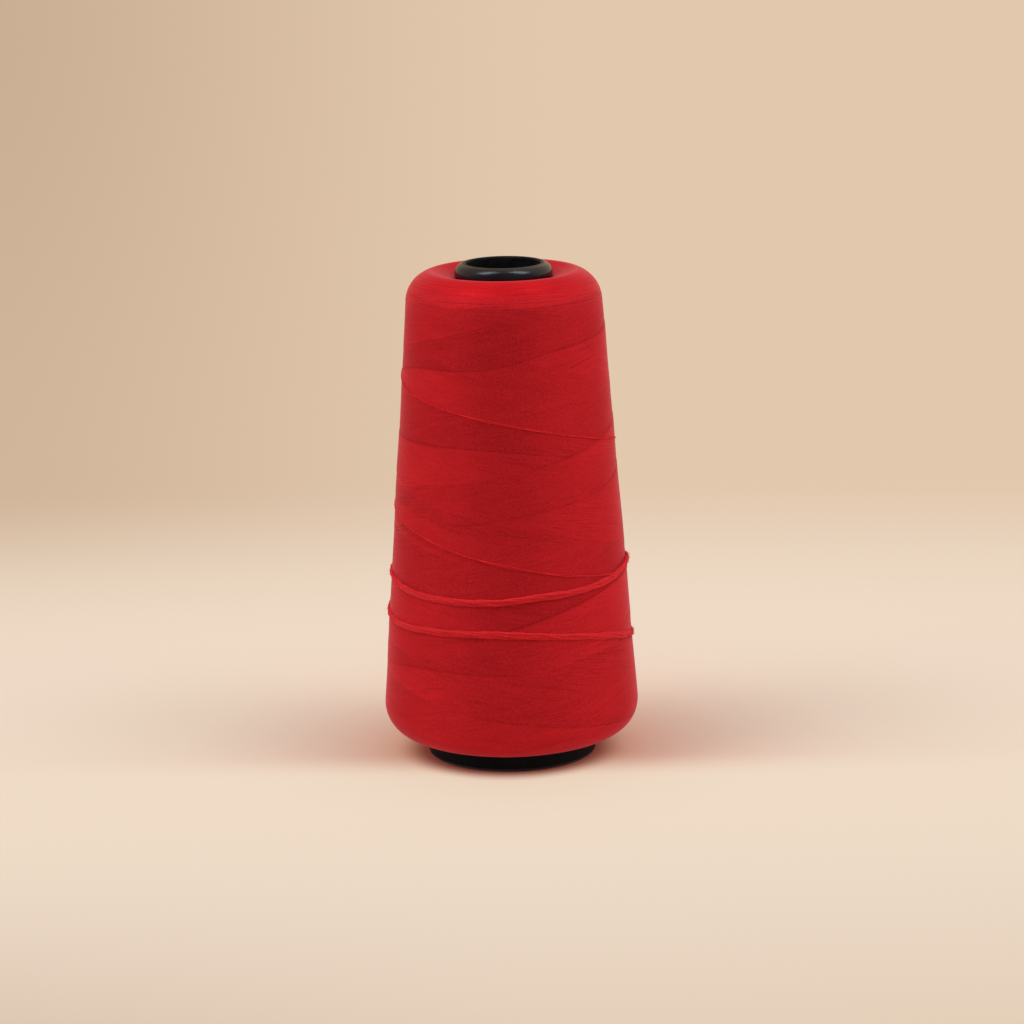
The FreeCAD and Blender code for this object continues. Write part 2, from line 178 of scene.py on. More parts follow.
def package_outline(sizes):
    """The package's closed half section as (radius, height, run) in mm, run being the way along it."""
    low_r, low_z, low = low_circle(sizes)
    top_r, top_z, top = top_circle(sizes)
    crest, lip, bore = sizes.crest / MM, sizes.inner_edge / MM, sizes.bore_top / MM
    turn_in, turn_down = sizes.crest_start, sizes.crest_end

    def arc(r, z, radius, start, end, count):
        turns = np.linspace(start, end, count, endpoint=False)
        return [(r + radius * math.cos(t), z + radius * math.sin(t)) for t in turns]

    def line(a, b, count):
        steps = np.linspace(0, 1, count, endpoint=False)
        return [(a[0] + (b[0] - a[0]) * t, a[1] + (b[1] - a[1]) * t) for t in steps]

    bottom = low_z - low
    low_end = (low_r + low * math.cos(LEAN), low_z + low * math.sin(LEAN))
    side_end = (top_r + top * math.cos(LEAN), top_z + top * math.sin(LEAN))
    crest_r = top_r + (top - crest) * math.cos(turn_in)
    crest_z = top_z + (top - crest) * math.sin(turn_in)
    lip_r = bore + lip
    lip_z = crest_z + (crest - lip - (lip_r - crest_r) * math.cos(turn_down)) / math.sin(turn_down)
    dip_start = (crest_r + crest * math.cos(turn_down), crest_z + crest * math.sin(turn_down))
    dip_end = (lip_r + lip * math.cos(turn_down), lip_z + lip * math.sin(turn_down))
    foot = (bore + (lip_z - bottom) * TAPER, bottom)
    points = line(foot, (low_r, bottom), 3)
    points += arc(low_r, low_z, low, -math.pi / 2, LEAN, 26)
    points += line(low_end, side_end, 184)
    points += arc(top_r, top_z, top, LEAN, turn_in, 22)
    points += arc(crest_r, crest_z, crest, turn_in, turn_down, 8)
    points += line(dip_start, dip_end, 5)
    points += arc(lip_r, lip_z, lip, turn_down, math.pi, 6)
    points += line((bore, lip_z), foot, 4)
    points = np.array(points)
    steps = np.hypot(*np.diff(points, axis=0).T)
    return points[:, 0], points[:, 1], np.concatenate([[0], np.cumsum(steps)])


def smooth_stations(stations, step):
    """Stations joined by a smooth line, sampled at a step in degrees, as columns."""
    stations = np.array(stations, float)
    at = np.arange(stations[0, 0], stations[-1, 0] + step / 2, step)
    slopes = np.gradient(stations[:, 1:], stations[:, 0], axis=0)
    place = np.clip(np.searchsorted(stations[:, 0], at, side="right") - 1, 0, len(stations) - 2)
    span = stations[place + 1, 0] - stations[place, 0]
    t = ((at - stations[place, 0]) / span)[:, None]
    span = span[:, None]
    start, end = stations[place, 1:], stations[place + 1, 1:]
    leave, arrive = slopes[place] * span, slopes[place + 1] * span
    curve = start * (2 * t**3 - 3 * t**2 + 1) + leave * (t**3 - 2 * t**2 + t)
    curve = curve + end * (3 * t**2 - 2 * t**3) + arrive * (t**3 - t**2)
    return np.column_stack([at, curve])


def edge_lines(routes, angles):
    """Each pass of each edge over the package: its height and strength at every angle."""
    heights, strengths = [], []
    for route in routes:
        line = smooth_stations(route, 2)
        first = math.floor((line[0, 0] + 180) / 360) - 1
        last = math.ceil((line[-1, 0] + 180) / 360)
        for lap in range(first, last + 1):
            at = angles + 360 * lap
            inside = (at >= line[0, 0]) & (at <= line[-1, 0])
            if inside.any():
                heights.append(np.where(inside, np.interp(at, line[:, 0], line[:, 1]), np.nan))
                strengths.append(np.where(inside, np.interp(at, line[:, 0], line[:, 2]), 0))
    return np.array(heights), np.array(strengths)


class Value:
    """A node's output that takes part in Python arithmetic."""

    def __init__(self, graph, socket):
        self.graph, self.socket = graph, socket

    def _math(self, operation, *terms):
        return self.graph.add("ShaderNodeMath", {"operation": operation}, dict(enumerate(terms)))

    def __add__(self, other):
        return self._math("ADD", self, other)

    __radd__ = __add__

    def __sub__(self, other):
        return self._math("SUBTRACT", self, other)

    def __rsub__(self, other):
        return self._math("SUBTRACT", other, self)

    def __mul__(self, other):
        return self._math("MULTIPLY", self, other)

    __rmul__ = __mul__

    def __truediv__(self, other):
        return self._math("DIVIDE", self, other)

    def __rtruediv__(self, other):
        return self._math("DIVIDE", other, self)

    def __neg__(self):
        return self._math("MULTIPLY", self, -1)

    def __abs__(self):
        return self._math("ABSOLUTE", self)

    def __pow__(self, other):
        return self._math("POWER", self, other)

    def sin(self):
        return self._math("SINE", self)

    def cos(self):
        return self._math("COSINE", self)

    def exp(self):
        return self._math("EXPONENT", self)

    def clip(self, low, high):
        return self._math("MINIMUM", self._math("MAXIMUM", self, low), high)

    def fade(self, start, end):
        """0 before start and 1 past end, smooth between."""
        settings = {"interpolation_type": "SMOOTHSTEP"}
        values = {"Value": self, "From Min": start, "From Max": end}
        return self.graph.add("ShaderNodeMapRange", settings, values)

    def peak(self, middle, sharpness):
        """1 at a middle value, fading on both sides of it."""
        away = self - middle
        return (away * away * -sharpness).exp()


class Graph:
    """Adds nodes to one tree."""

    def __init__(self, tree):
        self.tree = tree

    def add(self, kind, settings=None, values=None, output=0):
        """A node of one type, with its settings and the values or links of its sockets."""
        node = self.tree.nodes.new(kind)
        for name, setting in (settings or {}).items():
            setattr(node, name, setting)
        for name, value in (values or {}).items():
            self.feed(node.inputs[name], value)
        return Value(self, node.outputs[output]) if node.outputs else node

    def feed(self, socket, value):
        if isinstance(value, Value):
            self.tree.links.new(value.socket, socket)
        else:
            socket.default_value = value

    def other(self, value, output):
        """Another output of the node that gave this one."""
        return Value(self, value.socket.node.outputs[output])

    def attribute(self, name, output="Fac"):
        """What the mesh stores under a name."""
        return self.add("ShaderNodeAttribute", {"attribute_name": name}, None, output)

    def place(self):
        return self.add("ShaderNodeTexCoord", None, None, "Object")

    def pack(self, x, y, z):
        return self.add("ShaderNodeCombineXYZ", None, {0: x, 1: y, 2: z})

    def split(self, vector):
        """The three parts of a vector."""
        x = self.add("ShaderNodeSeparateXYZ", None, {0: vector})
        return x, self.other(x, 1), self.other(x, 2)

    def blend(self, factor, a, b, kind="MIX"):
        """Colour a turning into colour b, or into their product."""
        values = {0: factor, 6: colour4(a), 7: colour4(b)}
        return self.add("ShaderNodeMix", {"data_type": "RGBA", "blend_type": kind}, values, 2)

    def noise(self, vector, scale, detail=2.0, w=None, roughness=0.5, output=0):
        settings = {"noise_dimensions": "3D" if w is None else "4D"}
        values = {"Vector": vector, "Scale": scale, "Detail": detail, "Roughness": roughness}
        if w is not None:
            values["W"] = w
        return self.add("ShaderNodeTexNoise", settings, values, output)

    def bump(self, height, strength, distance):
        values = {"Strength": strength, "Distance": distance, "Height": height}
        return self.add("ShaderNodeBump", None, values)

    def shader(self, values):
        return self.add("ShaderNodeBsdfPrincipled", None, values)

    def mixed(self, factor, a, b):
        return self.add("ShaderNodeMixShader", None, {0: factor, 1: a, 2: b})

    def finish(self, surface, kind="ShaderNodeOutputMaterial"):
        self.add(kind, None, {"Surface": surface})


def colour4(colour):
    return colour if isinstance(colour, Value) else (*colour[:3], 1)


def new_material(name):
    """An empty node material and its graph."""
    material = bpy.data.materials.new(name)
    material.use_nodes = True
    material.node_tree.nodes.clear()
    return material, Graph(material.node_tree)


def package_material(colours):
    """Wound thread: fine courses that climb and drop, bands with stepped edges and painted shade, shadow
    lines and glints along them, rings on the shoulders.
    """
    material, g = new_material("wound_thread")
    place = g.place()
    x, y, _ = g.split(place)
    radius = (x * x + y * y) ** 0.5
    east, north = x / radius, y / radius
    run, spread = g.attribute("run"), g.attribute("spread")
    # A course climbs or drops by this much in one turn, in mm. Noise that is read on the phase of its
    # helix makes lines that follow it.
    pitch = 50.0
    turn = run * (2 * math.pi / pitch)
    across, along = turn.cos(), turn.sin()
    climb = (across * east + along * north, along * east - across * north)
    drop = (across * east - along * north, along * east + across * north)

    def courses(phase, spacing, change, detail):
        scale = pitch / (2 * math.pi * spacing)
        return g.noise(g.pack(phase[0] * scale, phase[1] * scale, east * change), 1.0, detail, north * change)

    # Spacing in mm, change along the course, and detail, of single courses and of groups of them.
    single, grouped = (0.42, 4.5, 1.5), (2.6, 1.1, 3.0)
    climb_fine, drop_fine = courses(climb, *single), courses(drop, *single)
    climb_wide, drop_wide = courses(climb, *grouped), courses(drop, *grouped)
    ring_fine = g.noise(g.pack(east * 2.0, north * 2.0, run * 2.3), 1.0, 1.5)
    sway = g.noise(g.pack(east * 1.4, north * 1.4, run * 0.03), 1.0, 2.0)
    over = ((turn * 2 + 0.9 + (sway - 0.5) * 3.0).sin() + spread * 2.5).fade(-0.5, 0.5)
    # The lower shoulder ends at a run of 22 mm, and the upper one lies between 162 and 175 mm.
    top = run.fade(157, 167)
    rings = run.fade(161.5, 163.5) * run.fade(172, 167)
    shoulder = run.fade(18, 6) + run.fade(159.5, 164)
    side = 1 - shoulder
    fine = climb_fine * over + drop_fine * (1 - over)
    wide = climb_wide * over + drop_wide * (1 - over)
    fine = fine * side + ring_fine * shoulder

    # Each edge has a painted shade that fades away from it, a thin painted shadow line or a painted glint,
    # and a small step in the bump.
    painted_band_shade, line, painted_glint, step = 0.0, 0.0, 0.0, 0.0
    for name in EDGE_LAYERS:
        away, strength, _ = g.split(g.attribute(name, "Vector"))
        ragged = away + (fine - 0.5) * 0.5
        above = ragged.fade(-0.35, 0.35)
        thin = ragged.peak(-0.1, 9.0)
        bright = strength.clip(0, 1)
        painted_band_shade = painted_band_shade + strength * (above * 2 - 1) * (abs(away) * -0.1).exp()
        line = line + (-strength).clip(0, 1) ** 0.5 * thin + bright ** 0.5 * thin * 0.2
        painted_glint = painted_glint + bright * ragged.peak(0.35, 9.0)
        step = step + strength * above * (abs(away) * -0.35).exp()

    # Painted shade: a dark line along the lower edge of the gathered end, where it lies on the winding.
    under, shaded, _ = g.split(g.attribute("tail_edge", "Vector"))
    painted_shade_under_tail = under.peak(-0.15, 5.0) * shaded
    patchy = g.noise(place, 55.0, 4.0)
    fuzz = g.noise(place, 1900.0, 1.5)
    # Where the courses lie apart, the gaps between them are painted darker, as shade, and sink a little in
    # the bump.
    shaded_gaps = (0.5 - fine).fade(0.03, 0.16) * (abs(spread) + rings * 0.7).clip(0, 1)
    # Painted light and shade go into the colour here, beside the winding's own tone: the bands' shade, shadow
    # lines and glints, the shaded gaps, the shade under the gathered end and a darker top of the shoulder.
    shade = 0.5 + (fine - 0.5) * 0.75 + (wide - 0.5) * 0.4 + (patchy - 0.5) * 0.2 + painted_band_shade * 0.26
    shade = shade + (fuzz - 0.5) * 0.25 + painted_glint * 0.1 - line * 0.62 - shaded_gaps * 0.4 - painted_shade_under_tail * 0.32 - top * 0.08
    colour = g.blend(shade.clip(0, 1), colours.thread_deep, colours.thread_bright)
    colour = g.blend(((fuzz - 0.5) * 0.6 + 0.12).clip(0, 1), colour, colours.thread_fuzz)
    # Painted shade on the crest: its colour is multiplied down to take back the pale sheen it catches.
    colour = g.blend(run.fade(163, 174), colour, colours.thread_crest_shade, "MULTIPLY")
    height = fine * 0.08 + wide * 0.1 + step * 0.08 - line * 0.05 - shaded_gaps * 0.07
    g.finish(g.shader({
        "Base Color": colour, "Roughness": 0.45 - (fine - 0.5) * 0.2, "Normal": g.bump(height, 0.7, 0.001),
        "Metallic": 0.55 - top * 0.4, "Anisotropic": 0.75, "Anisotropic Rotation": 0.25,
        "Specular IOR Level": 0.03, "Specular Tint": (1.0, 0.3, 0.32, 1),
        "Sheen Weight": 0.38, "Sheen Roughness": 0.4, "Sheen Tint": (1.0, 0.25, 0.34, 1),
    }))
    return material


def strand_material(name, colours, lift, contrast, sheen=0.08):
    """Yarn that lies on the winding: fibres that twist round it, some of them darker, and a fine fuzz."""
    material, g = new_material(name)
    fibres = g.noise(g.attribute("ply", "Vector"), 1.0, 3.0)
    fuzz = g.noise(g.place(), 1300.0, 3.0)
    shade = 0.5 + lift + (fibres - 0.5) * contrast + (fuzz - 0.5) * 0.7
    colour = g.blend(shade.clip(0, 1), colours.thread_deep, colours.thread_light)
    bump = g.bump(fibres * contrast + fuzz, 0.6, 0.0003)
    g.finish(g.shader({
        "Base Color": colour, "Roughness": 0.7, "Normal": bump, "Specular IOR Level": 0.06,
        "Sheen Weight": sheen, "Sheen Roughness": 0.4, "Sheen Tint": (1.0, 0.24, 0.29, 1),
    }))
    return material


def plastic_material(colours):
    """Black moulded plastic: glossy on the nose, finely textured and a little dusty, more so inside, with a
    pale line painted along the foot's bottom edge as a reflection of the floor.
    """
    material, g = new_material("black_moulding")
    place = g.place()
    x, y, z = g.split(place)
    radius = (x * x + y * y) ** 0.5
    grain = g.noise(place, 5200.0, 2.0)
    smear = g.noise(place, 120.0, 4.0)
    specks = g.noise(place, 1500.0, 2.0).fade(0.62, 0.72)
    nose = z.fade(NOSE_TOP - 20 * MM, NOSE_TOP - 10 * MM)
    inside = nose * radius.fade(14.6 * MM, 13.2 * MM)
    dust_and_painted_edge_light = (smear.fade(0.42, 0.75) * 0.4 + specks * 0.5) * (0.15 + inside * 0.25)
    # Painted reflection: a pale line along the foot's bottom edge, as if the floor shone in it.
    dust_and_painted_edge_light = dust_and_painted_edge_light + z.fade(1.1 * MM, 0.4 * MM)
    colour = g.blend(dust_and_painted_edge_light.clip(0, 1), colours.plastic, colours.dust_and_painted_edge_light)
    rough = 0.52 - nose * 0.28 + inside * 0.18 + (smear - 0.5) * 0.16 + specks * 0.1
    bump = g.bump(grain * (0.5 - nose * 0.38) + smear * 0.25, 0.25, 0.0003)

    def surface(roughness, level, tint):
        return g.shader({
            "Base Color": colour, "Roughness": roughness, "Normal": bump,
            "Specular IOR Level": level, "Specular Tint": tint,
        })

    dull = surface(rough, 0.07, (0.7, 0.88, 1.0, 1))
    gloss = surface(0.24, 0.5, (0.68, 0.82, 1.0, 1))
    outside = z.fade(NOSE_TOP - 8.5 * MM, NOSE_TOP - 5.5 * MM) * (1 - inside)
    g.finish(g.mixed(outside, dull, gloss))
    return material


def backdrop_colour(g, ahead, colours):
    """Colour of the backdrop along a way, with painted shade that darkens it towards one side."""
    way = g.add("ShaderNodeVectorMath", {"operation": "NORMALIZE"}, {0: ahead})
    aside, _, up = g.split(way)
    dark = g.blend((-up).fade(0.08, 0.22), colours.backdrop_dark, colours.backdrop_low)
    return g.blend(aside.fade(-0.17, 0.03), dark, colours.backdrop)


def seen_share(g):
    """1 for what shows straight, in gloss or through glass, and 0 for what lights the thread."""
    ray = g.add("ShaderNodeLightPath", None, None, "Is Camera Ray")
    return (ray + g.other(ray, "Is Glossy Ray") + g.other(ray, "Is Transmission Ray")).clip(0, 1)


def floor_material(colours):
    """Pale floor that takes the thread's shadow and red light, and turns into the backdrop far off."""
    material, g = new_material("floor")
    place = g.place()
    x, y, _ = g.split(place)
    shadow_middle, shadow_edge, shadow_end = -0.0005, 0.0283, 0.040
    to_right = x.fade(-0.02, 0.07)
    to_front = (-y - to_right * 0.005).fade(0.004, 0.034)
    beside = x - shadow_middle
    from_foot = (beside * beside + y * y) ** 0.5
    # Painted red light: close to the foot the floor's colour turns red, as if lit by the thread.
    painted_red_light = ((from_foot - 0.028) * -28).exp()
    # Painted shade: the floor's colour darkens towards the viewer, as the light falls off.
    near = g.blend((-y).fade(0.0, 0.26), colours.floor, colours.floor_front)
    near = g.blend(painted_red_light.clip(0, 1), near, colours.floor_blush)
    plain = g.add("ShaderNodeBsdfDiffuse", None, {"Color": near})

    # The open floor's look, which takes over outside the shadow at the foot, more in front than behind.
    far = ((x * x * 0.12 + y * y) ** 0.5).fade(0.10, 0.43)
    behind = 0.38 - to_right * 0.14
    clear = from_foot.fade(shadow_edge, shadow_end) * (to_front * (1 - behind) + behind)
    # Painted light and shade on the open floor's glow: it darkens towards the viewer and turns red close to
    # the foot, less in front.
    painted_red_near_foot = ((from_foot - 0.030) * -50).exp().clip(0, 1) * (1 - to_front * 0.65)
    lit = g.blend((-y).fade(0.05, 0.50), colours.floor_lit, colours.floor_lit_front)
    lit = g.blend(painted_red_near_foot, lit, colours.floor_red_light, "MULTIPLY")

    # Far off, the floor takes the colour that the backdrop has in line with it, seen from the camera.
    viewed_from = (0, -1.13, 0.35)
    ahead = g.add("ShaderNodeVectorMath", {"operation": "SUBTRACT"}, {0: place, 1: viewed_from})
    shown = g.blend(far, lit, backdrop_colour(g, ahead, colours))
    glow = g.add("ShaderNodeEmission", None, {"Color": shown, "Strength": 1.0})
    share = (1 - (1 - far) * (1 - clear)) * seen_share(g)
    g.finish(g.mixed(share, plain, glow))
    return material


def link_object(name, data):
    piece = bpy.data.objects.new(name, data)
    bpy.context.scene.collection.objects.link(piece)
    return piece


def grid_mesh(name, grid):
    """A closed surface through a grid of points that joins up both ways."""
    rows, columns = grid.shape[:2]
    number = np.arange(rows * columns).reshape(rows, columns)
    right, up = np.roll(number, -1, axis=1), np.roll(number, -1, axis=0)
    both = np.roll(right, -1, axis=0)
    faces = np.stack([number, right, both, up], axis=2).reshape(-1, 4)
    mesh = bpy.data.meshes.new(name)
    mesh.vertices.add(rows * columns)
    mesh.vertices.foreach_set("co", grid.ravel())
    mesh.loops.add(faces.size)
    mesh.loops.foreach_set("vertex_index", faces.ravel())
    mesh.polygons.add(len(faces))
    mesh.polygons.foreach_set("loop_start", np.arange(len(faces)) * 4)
    mesh.update(calc_edges=True)
    mesh.validate()
    mesh.shade_smooth()
    return mesh


def add_layer(mesh, name, kind, domain, values):
    """Stores numbers, or vectors, on the mesh under a name."""
    layer = mesh.attributes.new(name, kind, domain)
    layer.data.foreach_set("vector" if kind == "FLOAT_VECTOR" else "value", values.ravel())


def curve_object(name, paths):
    curve = bpy.data.curves.new(name, "CURVE")
    curve.dimensions = "3D"
    for path in paths:
        spline = curve.splines.new("POLY")
        spline.points.add(len(path) - 1)
        spline.points.foreach_set("co", np.column_stack([path, np.ones(len(path))]).ravel())
    return link_object(name, curve)


def laid_path(stations, sizes, lift, step=1.2, shift=0.0, sway=0.0, phase=0.0, rise=0.0, tuck=0.0):
    """Points of a course that lies on the package, in metres; it rises where its edge shows dark, and its
    ends tuck in."""
    line = smooth_stations([(*s, 0.0)[:3] for s in stations], step)
    angle = np.radians(line[:, 0])
    waves = np.sin(angle * 1.7 + phase) + 0.6 * np.sin(angle * 4.3 + 2 * phase)
    heights = np.clip(line[:, 1] + shift + sway * waves, *COURSE_HEIGHTS)
    radius = package_radius(heights, sizes) + lift + rise * np.clip(-2 * line[:, 2], 0, 1)
    to_end = np.minimum(line[:, 0] - line[0, 0], line[-1, 0] - line[:, 0])
    radius -= tuck * np.exp(-to_end / TUCK_TURN)
    return np.column_stack([radius * np.cos(angle), radius * np.sin(angle), heights]) * MM


def run_nodes(piece, tree, inputs):
    """Runs a node tree on the piece and puts the finished mesh in its place."""
    modifier = piece.modifiers.new("build", "NODES")
    modifier.node_group = tree
    for item in tree.interface.items_tree:
        if item.item_type == "SOCKET" and item.in_out == "INPUT" and item.name in inputs:
            modifier[item.identifier] = inputs[item.name]
    bpy.context.view_layer.update()
    depsgraph = bpy.context.evaluated_depsgraph_get()
    shown = piece.evaluated_get(depsgraph)
    mesh = bpy.data.meshes.new_from_object(shown, preserve_all_data_layers=True, depsgraph=depsgraph)
    name = piece.name
    bpy.data.objects.remove(piece)
    return link_object(name, mesh)


def strand_inputs(tree):
    """Declares what the strand tree is given: its kind, default and least value, name by name."""
    inputs = {
        "Geometry": ("Geometry", None, None),
        "Yarns": ("Int", 2, 1),
        "Yarn Diameter": ("Float", 0.3 * MM, 0),
        "Bundle Radius": ("Float", 0.2 * MM, 0),
        "Lay": ("Float", 6 * MM, 0),
        "Wander": ("Float", 0.05 * MM, 0),
        "Hair Length": ("Float", 1 * MM, 0),
        "Flatten": ("Float", 0.8, 0),
        "Hairs Per Area": ("Float", 0.0, 0),
        "Sides": ("Int", 6, 3),
        "Seed": ("Int", 1, 0),
        "Material": ("Material", None, None),
    }
    for name, (kind, default, least) in inputs.items():
        item = tree.interface.new_socket(name, in_out="INPUT", socket_type="NodeSocket" + kind)
        if default is not None:
            item.default_value = default
            item.min_value = least


def strand_tree():
    """Node tree that lays twisted yarns along curves and gives them short hairs."""
    tree = bpy.data.node_groups.new("strand", "GeometryNodeTree")
    tree.is_modifier = True
    strand_inputs(tree)
    tree.interface.new_socket("Geometry", in_out="OUTPUT", socket_type="NodeSocketGeometry")
    g = Graph(tree)
    group = g.add("NodeGroupInput").socket.node
    given = {socket.name: Value(g, socket) for socket in group.outputs if socket.name}

    def vector(operation, a, b=None, scale=None):
        values = {0: a, 1: b, "Scale": scale}
        used = {name: value for name, value in values.items() if value is not None}
        return g.add("ShaderNodeVectorMath", {"operation": operation}, used)

    def store(geometry, name, value, kind="FLOAT_VECTOR"):
        settings = {"data_type": kind, "domain": "POINT"}
        values = {"Geometry": geometry, "Name": name, "Value": value}
        return g.add("GeometryNodeStoreNamedAttribute", settings, values)

    def stored(name, kind="FLOAT_VECTOR"):
        return g.add("GeometryNodeInputNamedAttribute", {"data_type": kind}, {"Name": name})

    def circle(sides, radius):
        return g.add("GeometryNodeCurvePrimitiveCircle", None, {"Resolution": sides, "Radius": radius})

    def tube_along(curve, profile):
        values = {"Curve": curve, "Profile Curve": profile, "Fill Caps": True}
        return g.add("GeometryNodeCurveToMesh", None, values)

    # The yarns: copies of the curve that turn round it once in each lay and wander a little.
    upright = g.add("GeometryNodeSetCurveNormal", {"mode": "Z_UP"}, {0: given["Geometry"]})
    copies = g.add("GeometryNodeDuplicateElements", {"domain": "SPLINE"},
                   {"Geometry": upright, "Amount": given["Yarns"]})
    number = g.other(copies, 1)
    length = g.add("GeometryNodeSplineParameter", None, None, "Length")
    angle = (length / given["Lay"] + number / given["Yarns"]) * (2 * math.pi)
    out = g.add("GeometryNodeInputNormal")
    beside = vector("CROSS_PRODUCT", g.add("GeometryNodeInputTangent"), out)
    here = g.add("GeometryNodeInputPosition")
    drift = g.noise(here, 110.0, 3.0, number * 3.7 + given["Seed"], 0.65, 1)
    drift = vector("SCALE", vector("SUBTRACT", drift, (0.5, 0.5, 0.5)), scale=given["Wander"] * 2)
    wave_out = vector("SCALE", out, scale=angle.cos() * given["Bundle Radius"] * given["Flatten"])
    wave_side = vector("SCALE", beside, scale=angle.sin() * given["Bundle Radius"])
    offset = vector("ADD", vector("ADD", wave_out, wave_side), drift)
    moved = g.add("GeometryNodeSetPosition", None, {"Geometry": copies, "Offset": offset})
    kept = store(moved, "length_on", length + number * 0.37, "FLOAT")
    profile = circle(given["Sides"], given["Yarn Diameter"] * 0.5)
    profile = store(profile, "round", vector("NORMALIZE", here))
    tube = tube_along(kept, profile)

    # The plies twist round each yarn.
    ply_turn = 1.1 * MM
    run = stored("length_on", "FLOAT")
    rim_x, rim_y, _ = g.split(stored("round"))
    twist = run * (2 * math.pi / ply_turn)
    ply_x = (rim_x * twist.cos() + rim_y * twist.sin()) * 1.2
    ply_y = (rim_y * twist.cos() - rim_x * twist.sin()) * 1.2
    tube = store(tube, "ply", g.pack(ply_x, ply_y, run * 350.0))

    # The hairs: one bent hair, about 1 long before it is sized, that leans at random.
    seed = given["Seed"]
    spots = g.add("GeometryNodeDistributePointsOnFaces", None,
                  {"Mesh": tube, "Density": given["Hairs Per Area"], "Seed": seed})
    bend = {"Resolution": 3, "Start": (0, 0, -0.1), "Middle": (0.05, 0.1, 0.55), "End": (0.55, 0.0, 0.8)}
    hair = g.add("GeometryNodeCurveQuadraticBezier", None, bend)
    hair = tube_along(hair, circle(3, 0.022))
    lean = g.add("FunctionNodeRandomValue", {"data_type": "FLOAT_VECTOR"},
                 {0: (-0.9, -0.9, 0.0), 1: (0.9, 0.9, 6.28), "Seed": seed + 5})
    leaning = g.add("FunctionNodeEulerToRotation", None, {0: lean})
    turned = g.add("FunctionNodeRotateRotation", {"rotation_space": "LOCAL"},
                   {0: g.other(spots, "Rotation"), 1: leaning})
    size = g.add("FunctionNodeRandomValue", {"data_type": "FLOAT"}, {2: 0.35, 3: 1.0, "Seed": seed + 9}, 1)
    scale = size * given["Hair Length"]
    hairs = g.add("GeometryNodeInstanceOnPoints", None,
                  {"Points": spots, "Instance": hair, "Rotation": turned, "Scale": scale})
    joined = g.add("GeometryNodeJoinGeometry", None, {0: tube})
    g.feed(joined.socket.node.inputs[0], hairs)
    real = g.add("GeometryNodeRealizeInstances", None, {0: joined})
    smooth = g.add("GeometryNodeSetShadeSmooth", None, {"Geometry": real})
    done = g.add("GeometryNodeSetMaterial", None, {"Geometry": smooth, "Material": given["Material"]})
    g.add("NodeGroupOutput", None, {0: done})
    return tree


class THREAD_PG_sizes(bpy.types.PropertyGroup):
    """Sizes of the wound thread."""

    foot_radius: bpy.props.FloatProperty(
        name="Foot radius", description="Radius of the package's side, drawn on down to the floor",
        default=0.04506, unit="LENGTH")
    low_shoulder_middle: bpy.props.FloatProperty(
        name="Lower shoulder middle", description="Radius at which the lower shoulder's arc is centred",
        default=0.03279, unit="LENGTH")
    low_shoulder_height: bpy.props.FloatProperty(
        name="Lower shoulder height", description="Height at which the lower shoulder's arc is centred",
        default=0.01791, unit="LENGTH")
    low_shoulder: bpy.props.FloatProperty(
        name="Lower shoulder", description="Radius of the lower shoulder",
        default=0.01088, unit="LENGTH")
    top_shoulder_middle: bpy.props.FloatProperty(
        name="Upper shoulder middle", description="Radius at which the upper shoulder's arc is centred",
        default=0.02206, unit="LENGTH")
    top_shoulder_height: bpy.props.FloatProperty(
        name="Upper shoulder height", description="Height at which the upper shoulder's arc is centred",
        default=0.1568, unit="LENGTH")
    inner_edge: bpy.props.FloatProperty(
        name="Inner edge", description="Rounding of the package's inner top edge",
        default=0.0015, unit="LENGTH")
    crest: bpy.props.FloatProperty(
        name="Crest", description="Rounding between the upper shoulder and the dip round the nose",
        default=0.004, unit="LENGTH")
    crest_start: bpy.props.FloatProperty(
        name="Crest start", description="Angle at which the upper shoulder turns into the crest",
        default=math.radians(70), subtype="ANGLE")
    crest_end: bpy.props.FloatProperty(
        name="Crest end", description="Angle at which the crest turns into the dip",
        default=math.radians(108), subtype="ANGLE")
    bore_top: bpy.props.FloatProperty(
        name="Bore at the top", description="Radius of the package's bore at its top",
        default=0.01625, unit="LENGTH")
    thread: bpy.props.FloatProperty(
        name="Thread", description="Diameter of one course of thread",
        default=0.0003, unit="LENGTH")
    proud_thread: bpy.props.FloatProperty(
        name="Proud thread", description="Diameter of each of the two threads that stand proud",
        default=0.00028, unit="LENGTH")
    gathered: bpy.props.FloatProperty(
        name="Gathered end", description="Width of the gathered end of the thread",
        default=0.0025, unit="LENGTH")
    gathered_yarns: bpy.props.IntProperty(
        name="Gathered yarns", description="Number of yarns in the gathered end", default=6, min=2)


